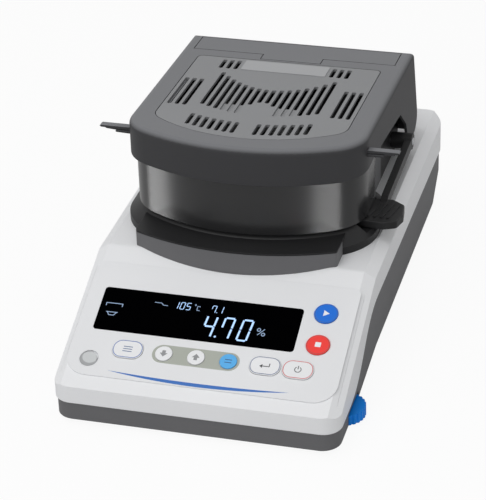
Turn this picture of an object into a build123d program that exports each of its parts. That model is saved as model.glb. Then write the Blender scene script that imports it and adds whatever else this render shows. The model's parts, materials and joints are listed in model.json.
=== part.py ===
from build123d import *
import math
import os

# Moisture analyzer: a weighing base with a sloped control panel, and a hinged heating cover
# over the sample pan. Millimetres, X to the right, Y to the back, Z up, ground at Z = 0.
# The origin is under the middle of the instrument. back() turns a distance from the front
# face of the case into Y.

case_width = 212
case_depth = 392
case_corner_radius = 14
case_wall = 3
case_top_z = 81
tray_inset = 1
tray_front_z = 4
tray_rear_z = 14
parting_front_z = 18.5
parting_side_z = 56
parting_rear_z = 51
front_face_top_z = 32
panel_slope_deg = 21.9
shoulder_drop = 6
shoulder_run = 8

cover_half_width = 91
cover_front = 125
cover_front_z = 169.7
cover_rear = 337
cover_slope_deg = 3.29
cover_arc_radius = 163
cover_corner_radius = 32
cover_wall = 2.2
cover_roof = 4
rim_bottom_z = 140.5

hinge_from_front = 341.5
hinge_z = 97
knuckle_radius = 12
hinge_pin_radius = 3
running_clearance = 0.05
lift_pivot_from_front = 300
lift_pivot_z = 98

chamber_centre = 189.5
chamber_half_width = cover_half_width - 2.5
chamber_half_depth = 61.5
chamber_arc_radius = 138
chamber_corner_radius = 36
skirt_bottom_z = 98
skirt_wall = 2.5
pan_radius = 45
pan_floor_z = 95.5

fit_gap = 0.3
post_hole_radius = 9
board_thickness = 1.6
# Taller and wider than the instrument, for cuts that run right through.
beyond = 200
overlay_thickness = 0.8
key_lift = 0.9
key_cap_thickness = 0.8
key_stem_radius = 2.6
key_stem_hole_radius = 3.2
key_flange_radius = 4.4


def back(distance):
    return distance - case_depth / 2


panel_slope = math.radians(panel_slope_deg)
cover_slope = math.radians(cover_slope_deg)
panel_plane = Plane(
    origin=(0, back(0), front_face_top_z),
    x_dir=(1, 0, 0),
    z_dir=(0, -math.sin(panel_slope), math.cos(panel_slope)),
)
cover_plane = Plane(
    origin=(0, back(cover_front), cover_front_z),
    x_dir=(1, 0, 0),
    z_dir=(0, math.sin(cover_slope), math.cos(cover_slope)),
)
# Planes across the case whose normals run up the panel and along the flat top, with local Y
# pointing into the case.
panel_edge_plane = Plane(
    origin=(0, back(0), front_face_top_z),
    x_dir=(1, 0, 0),
    z_dir=(0, math.cos(panel_slope), math.sin(panel_slope)),
)
top_edge_plane = Plane(origin=(0, 0, case_top_z), x_dir=(1, 0, 0), z_dir=(0, 1, 0))
crest_from_front = (case_top_z - front_face_top_z) / math.tan(panel_slope)
cover_rear_z = cover_front_z - (cover_rear - cover_front) * math.tan(cover_slope)

os.makedirs("parts", exist_ok=True)


def save(piece, name):
    piece.label = name
    export_step(piece, "parts/" + name + ".step")


def along_cover(distance):
    """Turns a distance from the front of the case into one along the cover's sloping top."""
    return (distance - cover_front) / math.cos(cover_slope)


# Plan outlines shared by several pieces.
with BuildSketch() as cover_outline:
    with Locations((0, back(chamber_centre))):
        Rectangle(2 * cover_half_width, 2 * (chamber_centre - cover_front))
    with Locations((0, back(cover_front) + cover_arc_radius)):
        Circle(cover_arc_radius, mode=Mode.INTERSECT)
    fillet(cover_outline.vertices().group_by(Axis.Y)[0], radius=cover_corner_radius)
    with Locations((0, back(chamber_centre))):
        Rectangle(2 * cover_half_width, case_depth - chamber_centre, align=(Align.CENTER, Align.MIN))

with BuildSketch() as chamber_outline:
    with Locations((0, back(chamber_centre))):
        Rectangle(2 * chamber_half_width, 2 * chamber_half_depth)
    arc_shift = chamber_arc_radius - chamber_half_depth
    with Locations((0, back(chamber_centre) + arc_shift)):
        Circle(chamber_arc_radius, mode=Mode.INTERSECT)
    with Locations((0, back(chamber_centre) - arc_shift)):
        Circle(chamber_arc_radius, mode=Mode.INTERSECT)
    fillet(chamber_outline.vertices(), radius=chamber_corner_radius)


def parting_line():
    """The side view of the joint between the grey tray and the white housing, front to back."""
    Line((back(0), parting_front_z), (back(38), parting_front_z))
    Spline(
        (back(38), parting_front_z),
        (back(130), parting_side_z),
        tangents=[(1, 0), (1, 0)],
    )
    Line((back(130), parting_side_z), (back(case_depth), parting_rear_z))


# Grey tray under the case, its rear end raised clear of the bench.
tray_undercut_z = 33
foot_wheel_x = case_width / 2 - 8
foot_wheel_from_front = 52
foot_wheel_radius = 16
foot_wheel_z = 3
foot_wheel_thickness = 8
foot_recess_radius = 18
foot_recess_z = 13
foot_boss_radius = 21
foot_boss_z = 24
foot_stud_radius = 4
foot_pad_radius = 9
rear_foot_x = case_width / 2 - 24
rear_foot_from_front = 335
rear_foot_radius = 10
rear_foot_height = 6
foot_spots = [(side * foot_wheel_x, back(foot_wheel_from_front)) for side in (-1, 1)]
rear_foot_spots = [(side * rear_foot_x, back(rear_foot_from_front)) for side in (-1, 1)]

with BuildPart() as tray_cavity:
    with BuildSketch(Plane.YZ):
        with BuildLine():
            Polyline(
                (back(0), tray_front_z + case_wall),
                (back(45), tray_front_z + case_wall),
                (back(130), tray_rear_z + case_wall),
                (back(352), tray_rear_z + case_wall),
                (back(376), tray_undercut_z + case_wall),
                (back(case_depth), tray_undercut_z + case_wall),
                (back(case_depth), case_top_z),
                (back(0), case_top_z),
                close=True,
            )
        make_face()
    extrude(amount=case_width / 2, both=True)
    with BuildSketch():
        RectangleRounded(
            case_width - 2 * (tray_inset + case_wall),
            case_depth - 2 * (tray_inset + case_wall),
            case_corner_radius - case_wall,
        )
    extrude(amount=case_top_z, mode=Mode.INTERSECT)
    with BuildSketch():
        with Locations(foot_spots):
            Circle(foot_boss_radius)
    extrude(amount=foot_boss_z, mode=Mode.SUBTRACT)

with BuildPart() as bottom_case:
    with BuildSketch(Plane.YZ):
        with BuildLine():
            Polyline(
                (back(0), parting_front_z),
                (back(0), tray_front_z),
                (back(45), tray_front_z),
                (back(130), tray_rear_z),
                (back(354), tray_rear_z),
                (back(378), tray_undercut_z),
                (back(case_depth), tray_undercut_z),
                (back(case_depth), parting_rear_z),
            )
            parting_line()
        make_face()
    extrude(amount=case_width / 2, both=True)
    with BuildSketch():
        RectangleRounded(case_width - 2 * tray_inset, case_depth - 2 * tray_inset, case_corner_radius)
    extrude(amount=case_top_z, mode=Mode.INTERSECT)
    add(tray_cavity.part, mode=Mode.SUBTRACT)
    with BuildSketch(Plane.XY.offset(rear_foot_height)):
        with Locations(rear_foot_spots):
            Circle(rear_foot_radius + 2)
    extrude(amount=tray_rear_z - rear_foot_height + 1)
    with BuildSketch():
        with Locations(foot_spots):
            Circle(foot_recess_radius)
    extrude(amount=foot_recess_z, mode=Mode.SUBTRACT)
    with BuildSketch():
        with Locations(foot_spots):
            Circle(foot_stud_radius + running_clearance)
    extrude(amount=foot_boss_z - 2, mode=Mode.SUBTRACT)
save(bottom_case.part, "bottom_case")

for side, side_name in ((-1, "left"), (1, "right")):
    with BuildPart() as foot_wheel:
        with BuildSketch(Plane.XY.offset(foot_wheel_z)):
            with Locations((side * foot_wheel_x, back(foot_wheel_from_front))):
                Circle(foot_wheel_radius)
                with PolarLocations(foot_wheel_radius + 0.6, 26):
                    Circle(1.3, mode=Mode.SUBTRACT)
        extrude(amount=foot_wheel_thickness)
        with BuildSketch(Plane.XY.offset(foot_wheel_z)):
            with Locations((side * foot_wheel_x, back(foot_wheel_from_front))):
                Circle(foot_stud_radius)
        extrude(amount=foot_boss_z - 3.5 - foot_wheel_z)
    save(foot_wheel.part, "foot_wheel_" + side_name)
    with BuildPart() as foot_pad:
        with BuildSketch():
            with Locations((side * foot_wheel_x, back(foot_wheel_from_front))):
                Circle(foot_pad_radius)
        extrude(amount=foot_wheel_z)
        chamfer(foot_pad.edges().group_by(Axis.Z)[0], length=0.8)
    save(foot_pad.part, "foot_pad_" + side_name)

with BuildPart() as rear_feet:
    with BuildSketch():
        with Locations(rear_foot_spots):
            Circle(rear_foot_radius)
    extrude(amount=rear_foot_height)
    chamfer(rear_feet.edges().group_by(Axis.Z)[0], length=1)
save(rear_feet.part, "rear_feet")

# Control panel layout: x and the distance up the slope from the panel's front edge.
display_x = -13
display_up = 71.75
display_width = 150
display_height = 38.4
display_opening_margin = 4
level_x = -83.3
level_up = 26.4
level_radius = 7
round_keys = {
    "key_start": (78.5, 89, 8.7),
    "key_stop": (78.5, 61, 8.7),
    "key_down": (-30, 37.6, 6.3),
    "key_up": (-6, 37.6, 6.3),
    "key_select": (18, 37.6, 6.3),
}
oval_keys = {
    "key_program": (-57, 37.6),
    "key_print": (45, 37.6),
    "key_power": (69, 37.6),
}
oval_half_width = 11.3
oval_half_height = 7.8
oval_corner_radius = 7
key_positions = [(x, up) for x, up, radius in round_keys.values()] + list(oval_keys.values())

# Rear sockets, centred on one height.
socket_z = 64
inlet_x = -62
inlet_width = 27.4
inlet_height = 19.8
serial_x = 12
serial_width = 31
serial_height = 12.6
usb_x = 58
usb_width = 12.2
usb_height = 11

with BuildPart() as housing_cavity:
    with BuildSketch(Plane.YZ):
        inner_front_z = front_face_top_z - case_wall / math.cos(panel_slope)
        inner_crest = (case_top_z - case_wall - inner_front_z) / math.tan(panel_slope)
        with BuildLine():
            Polyline(
                (back(case_wall), 0),
                (back(case_wall), inner_front_z + case_wall * math.tan(panel_slope)),
                (back(inner_crest), case_top_z - case_wall),
                (back(case_depth - case_wall), case_top_z - case_wall),
                (back(case_depth - case_wall), 0),
                close=True,
            )
        make_face()
    extrude(amount=case_width / 2, both=True)
    with BuildSketch():
        RectangleRounded(
            case_width - 2 * (case_wall + tray_inset),
            case_depth - 2 * (case_wall + tray_inset),
            case_corner_radius - case_wall,
        )
    extrude(amount=case_top_z, mode=Mode.INTERSECT)
    # The sloping shoulders leave less room along the sides.
    with BuildSketch(Plane.XZ):
        with Locations((-case_width / 2, case_top_z), (case_width / 2, case_top_z)):
            Rectangle(2 * (shoulder_run + case_wall + 2), 2 * (shoulder_drop + 4))
    extrude(amount=case_depth, both=True, mode=Mode.SUBTRACT)

with BuildPart() as housing_block:
    with BuildSketch(Plane.YZ) as housing_side:
        with BuildLine():
            Polyline(
                (back(0), parting_front_z),
                (back(0), front_face_top_z),
                (back(crest_from_front), case_top_z),
                (back(case_depth), case_top_z),
                (back(case_depth), parting_rear_z),
            )
            parting_line()
        make_face()
        for distance, height, radius in (
            (0, front_face_top_z, 9),
            (crest_from_front, case_top_z, 16),
            (case_depth, case_top_z, 8),
        ):
            corner = housing_side.vertices().sort_by_distance((0, back(distance), height))[0]
            fillet(corner, radius=radius)
    extrude(amount=case_width / 2, both=True)
    with BuildSketch():
        RectangleRounded(case_width, case_depth, case_corner_radius)
    extrude(amount=case_top_z, mode=Mode.INTERSECT)
    # Sloping shoulders, one pair along the flat top and one pair along the panel.
    for shoulder_plane in (top_edge_plane, panel_edge_plane):
        with BuildSketch(shoulder_plane):
            for side in (-1, 1):
                with BuildLine():
                    Polyline(
                        (side * (case_width / 2 - shoulder_run), 0),
                        (side * case_width / 2, shoulder_drop),
                        (side * case_width, shoulder_drop),
                        (side * case_width, -shoulder_drop),
                        (side * (case_width / 2 - shoulder_run), -shoulder_drop),
                        close=True,
                    )
                make_face()
        extrude(amount=case_depth, both=True, mode=Mode.SUBTRACT)

with BuildPart() as top_housing:
    add(housing_block.part)
    add(housing_cavity.part, mode=Mode.SUBTRACT)
    with BuildSketch(panel_plane):
        with Locations((display_x, display_up)):
            Rectangle(
                display_width - 2 * display_opening_margin,
                display_height - 2 * display_opening_margin,
            )
        with Locations(key_positions):
            Circle(key_stem_hole_radius)
        with Locations((level_x, level_up)):
            Circle(level_radius)
    extrude(amount=-case_wall * 2, mode=Mode.SUBTRACT)
    with BuildSketch(Plane.XY.offset(case_top_z)):
        with Locations((0, back(chamber_centre))):
            Circle(post_hole_radius)
    extrude(amount=-case_wall * 2, mode=Mode.SUBTRACT)
    with BuildSketch(Plane.XZ.offset(-back(case_depth))):
        with Locations((inlet_x, socket_z)):
            Rectangle(inlet_width + 0.2, inlet_height + 0.2)
        with Locations((serial_x, socket_z)):
            Rectangle(serial_width + 0.2, serial_height + 0.2)
        with Locations((usb_x, socket_z)):
            Rectangle(usb_width + 0.2, usb_height + 0.2)
    extrude(amount=2 * case_wall, mode=Mode.SUBTRACT)
save(top_housing.part, "top_housing")

with BuildPart() as panel_overlay:
    with BuildSketch(panel_plane) as overlay_face:
        with Locations((0, 63.25)):
            Rectangle(case_width - 12, 102.5)
        fillet(overlay_face.vertices().group_by(Axis.Y)[0], radius=17)
        fillet(overlay_face.vertices().group_by(Axis.Y)[-1], radius=6)
        with Locations((display_x, display_up)):
            RectangleRounded(display_width + 0.4, display_height + 0.4, 2.6, mode=Mode.SUBTRACT)
        for x, up, radius in round_keys.values():
            with Locations((x, up)):
                Circle(radius + fit_gap, mode=Mode.SUBTRACT)
        with Locations(list(oval_keys.values())):
            RectangleRounded(
                2 * (oval_half_width + fit_gap),
                2 * (oval_half_height + fit_gap),
                oval_corner_radius + fit_gap,
                mode=Mode.SUBTRACT,
            )
        with Locations((level_x, level_up)):
            Circle(level_radius, mode=Mode.SUBTRACT)
    extrude(amount=overlay_thickness)
save(panel_overlay.part, "panel_overlay")

with BuildPart() as display_window:
    with BuildSketch(panel_plane):
        with Locations((display_x, display_up)):
            RectangleRounded(display_width, display_height, 2.5)
    extrude(amount=overlay_thickness)
save(display_window.part, "display_window")

display_board_depth = 6
with BuildPart() as vfd_tube:
    with BuildSketch(panel_plane.offset(-0.5)):
        with Locations((display_x, display_up)):
            Rectangle(display_width - 10, display_height - 10)
    extrude(amount=0.5 - display_board_depth)
    fillet(vfd_tube.edges().filter_by(Axis.X), radius=1)
save(vfd_tube.part, "vfd_tube")

with BuildPart() as display_board:
    with BuildSketch(panel_plane.offset(-display_board_depth)):
        with Locations((display_x, display_up)):
            Rectangle(display_width + 6, display_height)
    extrude(amount=-board_thickness)
    with BuildSketch(panel_plane.offset(-display_board_depth)):
        with Locations((display_x, display_up)):
            with GridLocations(display_width - 1, display_height - 5, 2, 2):
                Circle(1.8)
    extrude(amount=display_board_depth - case_wall)
save(display_board.part, "display_board")

# Key board under the panel's lower row and its right-hand column, with one switch per key.
key_board_depth = 7.2
with BuildPart() as key_board:
    with BuildSketch(panel_plane.offset(-key_board_depth)):
        with Locations((6, 39)):
            Rectangle(154, 22)
        with Locations((78.5, 64)):
            Rectangle(22, 72)
        with Locations((display_x, display_up)):
            Rectangle(display_width + 7, display_height + 1, mode=Mode.SUBTRACT)
    extrude(amount=-board_thickness)
    with BuildSketch(panel_plane.offset(-key_board_depth)):
        with Locations((-68, 31), (-18, 31), (30, 31), (80, 47), (86, 97)):
            Circle(2)
    extrude(amount=key_board_depth - case_wall)
save(key_board.part, "key_board")

with BuildPart() as key_switches:
    with BuildSketch(panel_plane.offset(-key_board_depth)):
        with Locations(key_positions):
            Rectangle(6, 6)
    extrude(amount=1.2)
    with BuildSketch(panel_plane.offset(1.2 - key_board_depth)):
        with Locations(key_positions):
            Circle(1.7)
    extrude(amount=1)
save(key_switches.part, "key_switches")


key_shapes = {name: (x, up, radius, radius) for name, (x, up, radius) in round_keys.items()}
for key_name, (x, up) in oval_keys.items():
    key_shapes[key_name] = (x, up, oval_half_width, oval_half_height)

for key_name, (x, up, half_width, half_height) in key_shapes.items():
    with BuildPart() as key:
        with BuildSketch(panel_plane.offset(key_lift)):
            with Locations((x, up)):
                if half_width == half_height:
                    Circle(half_width)
                else:
                    RectangleRounded(2 * half_width, 2 * half_height, oval_corner_radius)
        extrude(amount=key_cap_thickness)
        fillet(key.edges().sort_by(Axis.Z)[-1], radius=0.3)
        with BuildSketch(panel_plane.offset(key_lift)):
            with Locations((x, up)):
                Circle(key_stem_radius)
        extrude(amount=-key_lift - case_wall - 0.5)
        with BuildSketch(panel_plane.offset(-case_wall - 0.4)):
            with Locations((x, up)):
                Circle(key_flange_radius)
        extrude(amount=-0.9)
    save(key.part, key_name)

with BuildPart() as level_cup:
    with BuildSketch(panel_plane.offset(-0.4)):
        with Locations((level_x, level_up)):
            Circle(level_radius)
    extrude(amount=-7)
    with BuildSketch(panel_plane.offset(-case_wall)):
        with Locations((level_x, level_up)):
            Circle(level_radius + 2)
    extrude(amount=-1.5)
    with BuildSketch(panel_plane.offset(-0.4)):
        with Locations((level_x, level_up)):
            Circle(level_radius - 1.2)
    extrude(amount=-6, mode=Mode.SUBTRACT)
save(level_cup.part, "level_cup")

with BuildPart() as level_vial:
    with BuildSketch(panel_plane.offset(-6.4)):
        with Locations((level_x, level_up)):
            Circle(level_radius - 1.2)
    extrude(amount=6.4 + overlay_thickness)
save(level_vial.part, "level_vial")

# Black base ring of the drying chamber, its upper part leaning in to the cover's skirt.
ring_spread = 8
ring_side_z = 87
ring_top_z = skirt_bottom_z - 1.5
ring_slant_deg = 50
well_radius = 56
well_floor_z = case_top_z + 3
apron_top_z = 94
apron_front = 107.5
apron_half_width = 77
apron_arc_radius = 186
apron_cap = 1.5
paddle_notch_z = 89.5
arm_inner_x = cover_half_width + 1.5
arm_outer_x = cover_half_width + 7
paddle_front = 169
paddle_middle = paddle_front + 18.5

with BuildSketch() as ring_outline:
    add(chamber_outline.sketch)
    offset(amount=ring_spread)

with BuildSketch() as apron_outline:
    with Locations((0, back(apron_front))):
        Rectangle(2 * apron_half_width, chamber_centre - apron_front, align=(Align.CENTER, Align.MIN))
    with Locations((0, back(apron_front) + apron_arc_radius)):
        Circle(apron_arc_radius, mode=Mode.INTERSECT)
    fillet(apron_outline.vertices().group_by(Axis.Y)[0], radius=3)

with BuildPart() as chamber_base:
    with BuildSketch(Plane.XY.offset(case_top_z)):
        add(ring_outline.sketch)
    extrude(amount=ring_side_z - case_top_z)
    with BuildSketch(Plane.XY.offset(ring_side_z)):
        add(ring_outline.sketch)
    extrude(amount=ring_top_z - ring_side_z, taper=ring_slant_deg)
    # Black lip over the apron in front.
    with BuildSketch(Plane.XY.offset(apron_top_z - apron_cap)):
        add(apron_outline.sketch)
    extrude(amount=apron_cap)
    with BuildSketch(Plane.XY.offset(well_floor_z)):
        with Locations((0, back(chamber_centre))):
            Circle(well_radius)
    extrude(amount=beyond, mode=Mode.SUBTRACT)
    with BuildSketch(Plane.XY.offset(case_top_z)):
        with Locations((0, back(chamber_centre))):
            Circle(post_hole_radius)
    extrude(amount=beyond, mode=Mode.SUBTRACT)
    # Notch for the lifting paddle and the holder's tab.
    with BuildSketch(Plane.XY.offset(paddle_notch_z)):
        with Locations((arm_outer_x - 23, back(paddle_middle))):
            Rectangle(70, 48)
    extrude(amount=beyond, mode=Mode.SUBTRACT)
save(chamber_base.part, "chamber_base")

with BuildPart() as chamber_apron:
    with BuildSketch():
        add(apron_outline.sketch)
    extrude(amount=apron_top_z - apron_cap)
    with BuildSketch():
        add(ring_outline.sketch)
    extrude(amount=beyond, mode=Mode.SUBTRACT)
    with BuildSketch(Plane.YZ):
        with BuildLine():
            Polyline(
                (back(0), front_face_top_z),
                (back(crest_from_front), case_top_z),
                (back(chamber_centre), case_top_z),
                (back(chamber_centre), 0),
                (back(0), 0),
                close=True,
            )
        make_face()
    extrude(amount=case_width / 2, both=True, mode=Mode.SUBTRACT)
save(chamber_apron.part, "chamber_apron")

with BuildPart() as heat_shield:
    with BuildSketch(Plane.XY.offset(well_floor_z)):
        with Locations((0, back(chamber_centre))):
            Circle(well_radius - fit_gap)
            Circle(8, mode=Mode.SUBTRACT)
    extrude(amount=1)
save(heat_shield.part, "heat_shield")

with BuildPart() as draft_ring:
    with BuildSketch(Plane.XY.offset(well_floor_z + 1)):
        with Locations((0, back(chamber_centre))):
            Circle(well_radius - 1)
            Circle(well_radius - 2.5, mode=Mode.SUBTRACT)
    extrude(amount=4.5)
save(draft_ring.part, "draft_ring")

# Grey wall that wraps the back of the chamber, and behind it the black housing that carries
# the hinge and the lifting arm's pivot.
tower_half_width = cover_half_width - 11
tower_top_z = 122
hinge_housing_front = 263
hinge_housing_top_z = 134
tower_rear = 329
with BuildPart() as rear_tower:
    with BuildSketch(Plane.XY.offset(case_top_z)):
        with Locations((0, back(chamber_centre))):
            Rectangle(
                2 * tower_half_width,
                hinge_housing_front - chamber_centre,
                align=(Align.CENTER, Align.MIN),
            )
        add(ring_outline.sketch, mode=Mode.SUBTRACT)
    extrude(amount=tower_top_z - case_top_z)
save(rear_tower.part, "rear_tower")

with BuildPart() as hinge_housing:
    with BuildSketch(Plane.XY.offset(case_top_z)):
        with Locations((0, back(hinge_housing_front))):
            Rectangle(
                2 * tower_half_width,
                tower_rear - hinge_housing_front,
                align=(Align.CENTER, Align.MIN),
            )
    extrude(amount=hinge_housing_top_z - case_top_z)
    fillet(hinge_housing.edges().group_by(Axis.Z)[-1].filter_by(Axis.X), radius=4)
    with BuildSketch(Plane.YZ.offset(tower_half_width)):
        with Locations((back(lift_pivot_from_front), lift_pivot_z)):
            Circle(hinge_pin_radius)
    extrude(amount=-12, mode=Mode.SUBTRACT)
save(hinge_housing.part, "hinge_housing")

bracket_inner = cover_half_width - 31
bracket_outer = cover_half_width - 23
with BuildPart() as hinge_bracket:
    for side in (-1, 1):
        with BuildSketch(Plane.YZ.offset(side * (bracket_inner + bracket_outer) / 2)):
            with BuildLine():
                Polyline(
                    (back(tower_rear), hinge_z - 7),
                    (back(hinge_from_front), hinge_z - 7.5),
                    (back(hinge_from_front), hinge_z + 7.5),
                    (back(tower_rear), hinge_z + 11),
                    close=True,
                )
            make_face()
            with Locations((back(hinge_from_front), hinge_z)):
                Circle(7.5)
                Circle(hinge_pin_radius, mode=Mode.SUBTRACT)
        extrude(amount=(bracket_outer - bracket_inner) / 2, both=True)
save(hinge_bracket.part, "hinge_bracket")

hinge_pin_half = cover_half_width - 5
with BuildPart() as hinge_pin:
    with BuildSketch(Plane.YZ):
        with Locations((back(hinge_from_front), hinge_z)):
            Circle(hinge_pin_radius)
    extrude(amount=hinge_pin_half, both=True)
    chamfer(hinge_pin.edges(), length=0.5)
save(hinge_pin.part, "hinge_pin")

# Weighing cell, its bracket, the post and the pan support.
load_cell_top_z = 57
load_cell_height = 24
load_cell_front = chamber_centre - 28.5
load_cell_length = 130
load_cell_middle = load_cell_front + load_cell_length / 2
load_cell_middle_z = load_cell_top_z - load_cell_height / 2
support_top_z = pan_floor_z - fit_gap
support_bottom_z = support_top_z - 4
with BuildPart() as load_cell_bracket:
    with BuildSketch(Plane.XY.offset(tray_rear_z + case_wall)):
        with Locations((0, back(load_cell_front + load_cell_length - 14))):
            Rectangle(44, 30)
    extrude(amount=16)
    fillet(load_cell_bracket.edges().filter_by(Axis.Z), radius=4)
save(load_cell_bracket.part, "load_cell_bracket")

with BuildPart() as load_cell:
    with BuildSketch(Plane.YZ):
        with Locations((back(load_cell_middle), load_cell_middle_z)):
            Rectangle(load_cell_length, load_cell_height)
            Rectangle(52, 14, mode=Mode.SUBTRACT)
            with Locations((-26, 0), (26, 0)):
                Circle(9.5, mode=Mode.SUBTRACT)
    extrude(amount=15, both=True)
save(load_cell.part, "load_cell")

with BuildPart() as pan_post:
    with BuildSketch(Plane.XY.offset(load_cell_top_z)):
        with Locations((0, back(chamber_centre))):
            Circle(5)
    extrude(amount=support_bottom_z - load_cell_top_z)
save(pan_post.part, "pan_post")

with BuildPart() as pan_support:
    with BuildSketch(Plane.XY.offset(support_bottom_z)):
        with Locations((0, back(chamber_centre))):
            Circle(28)
            with PolarLocations(20, 4, 45):
                Circle(5, mode=Mode.SUBTRACT)
    extrude(amount=support_top_z - support_bottom_z)
    fillet(pan_support.edges().group_by(Axis.Z)[-1].sort_by(SortBy.LENGTH)[-1], radius=1)
save(pan_support.part, "pan_support")

with BuildPart() as sample_pan:
    with BuildSketch(Plane.XZ.offset(-back(chamber_centre))):
        with BuildLine():
            Polyline(
                (0, pan_floor_z),
                (pan_radius, pan_floor_z),
                (pan_radius + 1, pan_floor_z + 5.2),
                (pan_radius + 2.5, pan_floor_z + 5.2),
                (pan_radius + 2.5, pan_floor_z + 6),
                (pan_radius + 0.2, pan_floor_z + 6),
                (pan_radius - 0.8, pan_floor_z + 0.8),
                (0, pan_floor_z + 0.8),
                close=True,
            )
        make_face()
    revolve(axis=Axis((0, back(chamber_centre), 0), (0, 0, 1)))
save(sample_pan.part, "sample_pan")

# Pan holder: a flat ring under the pan with a tab that rests on the lifting arm.
holder_top_z = pan_floor_z - fit_gap
holder_thickness = 2
tongue_width = 14
with BuildPart() as pan_holder:
    with BuildSketch(Plane.XY.offset(holder_top_z - holder_thickness)):
        with Locations((0, back(chamber_centre))):
            Circle(48)
            Circle(38, mode=Mode.SUBTRACT)
        with Locations((arm_outer_x - 37, back(chamber_centre))):
            Rectangle(34, tongue_width)
    extrude(amount=holder_thickness)
save(pan_holder.part, "pan_holder")

# Lifting arm: paddle beside the chamber, bar back to a pivot inside the cover's side arch.
arm_top_z = 98.5
paddle_bottom_z = 90.5
paddle_top_z = 96.5
tongue_gap = 0.8
arm_eye_radius = 6.5
with BuildPart() as lift_arm:
    with BuildSketch(Plane.YZ.offset(arm_inner_x)):
        with BuildLine():
            Polyline(
                (back(paddle_front + 32), paddle_bottom_z),
                (back(lift_pivot_from_front), lift_pivot_z - 4),
                (back(lift_pivot_from_front), lift_pivot_z + 4),
                (back(paddle_front + 38), arm_top_z),
                (back(paddle_front + 32), paddle_top_z),
                close=True,
            )
        make_face()
        with Locations((back(lift_pivot_from_front), lift_pivot_z)):
            Circle(arm_eye_radius)
    extrude(amount=arm_outer_x - arm_inner_x)
    with BuildSketch(Plane.YZ.offset(tower_half_width + 1)):
        with Locations((back(lift_pivot_from_front), lift_pivot_z)):
            Circle(arm_eye_radius)
    extrude(amount=arm_outer_x - tower_half_width - 1)
    with BuildSketch(Plane.XY.offset(paddle_bottom_z)) as paddle_face:
        with BuildLine():
            Polyline(
                (arm_outer_x - 18, back(paddle_front + 2)),
                (arm_outer_x + 4, back(paddle_front)),
                (arm_outer_x + 13, back(paddle_front + 4)),
                (arm_outer_x + 16, back(paddle_front + 15)),
                (arm_outer_x + 14, back(paddle_front + 30)),
                (arm_outer_x + 4, back(paddle_front + 37)),
                (arm_outer_x - 16, back(paddle_front + 36)),
                close=True,
            )
        make_face()
        fillet(paddle_face.vertices(), radius=3.5)
    extrude(amount=paddle_top_z - paddle_bottom_z)
    top_edges = lift_arm.edges().filter_by_position(Axis.Z, paddle_top_z - 0.01, paddle_top_z + 0.01)
    fillet(top_edges.group_by(Axis.X)[-1], radius=1)
    with BuildSketch(Plane.XY.offset(paddle_bottom_z)):
        with Locations((arm_outer_x - 24, back(chamber_centre))):
            Rectangle(20, tongue_width)
    extrude(amount=holder_top_z - holder_thickness - tongue_gap - paddle_bottom_z)
    with BuildSketch(Plane.XY.offset(paddle_top_z)):
        for step in range(4):
            with Locations((arm_outer_x - 7 + 5 * step, back(paddle_front + 18))):
                SlotOverall(24, 2.4, rotation=78)
    extrude(amount=0.9)
    with BuildSketch(Plane.YZ.offset(tower_half_width)):
        with Locations((back(lift_pivot_from_front), lift_pivot_z)):
            Circle(hinge_pin_radius + running_clearance)
    extrude(amount=beyond, mode=Mode.SUBTRACT)
save(lift_arm.part, "lift_arm")

with BuildPart() as lift_pivot_pin:
    with BuildSketch(Plane.YZ.offset(tower_half_width - 12)):
        with Locations((back(lift_pivot_from_front), lift_pivot_z)):
            Circle(hinge_pin_radius)
    extrude(amount=arm_outer_x - tower_half_width + 12 + 0.5)
save(lift_pivot_pin.part, "lift_pivot_pin")

# Electronics in the case.
board_post_height = 5
board_z = tray_rear_z + case_wall + board_post_height
board_top_z = board_z + board_thickness
main_board_x = -60
main_board_from_front = 240
power_board_x = 62
power_board_from_front = 250
with BuildPart() as main_board:
    with BuildSketch(Plane.XY.offset(board_z)):
        with Locations((main_board_x, back(main_board_from_front))):
            Rectangle(64, 170)
    extrude(amount=board_thickness)
    with BuildSketch(Plane.XY.offset(tray_rear_z + case_wall)):
        with Locations((main_board_x, back(main_board_from_front))):
            with GridLocations(56, 160, 2, 2):
                Circle(3)
    extrude(amount=board_post_height)
    with BuildSketch(Plane.XY.offset(board_top_z)):
        with Locations((main_board_x, back(main_board_from_front))):
            with Locations((-6, -25), (12, 30)):
                Rectangle(22, 22)
            with Locations((18, -50), (-15, 40)):
                Rectangle(9, 14)
    extrude(amount=2.4)
save(main_board.part, "main_board")

with BuildPart() as power_board:
    with BuildSketch(Plane.XY.offset(board_z)):
        with Locations((power_board_x, back(power_board_from_front))):
            Rectangle(60, 150)
    extrude(amount=board_thickness)
    with BuildSketch(Plane.XY.offset(tray_rear_z + case_wall)):
        with Locations((power_board_x, back(power_board_from_front))):
            with GridLocations(52, 140, 2, 2):
                Circle(3)
    extrude(amount=board_post_height)
    with BuildSketch(Plane.XY.offset(board_top_z)):
        with Locations((power_board_x, back(power_board_from_front - 35))):
            with GridLocations(18, 18, 3, 1):
                Circle(7)
    extrude(amount=24)
save(power_board.part, "power_board")

with BuildPart() as transformer:
    with BuildSketch(Plane.XY.offset(board_top_z)):
        with Locations((power_board_x, back(power_board_from_front + 25))):
            Rectangle(46, 40)
    extrude(amount=32)
    with BuildSketch(Plane.XY.offset(board_top_z + 6)):
        with Locations((power_board_x, back(power_board_from_front + 25))):
            Rectangle(30, 54)
    extrude(amount=20)
    fillet(transformer.edges().filter_by(Axis.Z), radius=2)
save(transformer.part, "transformer")

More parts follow.
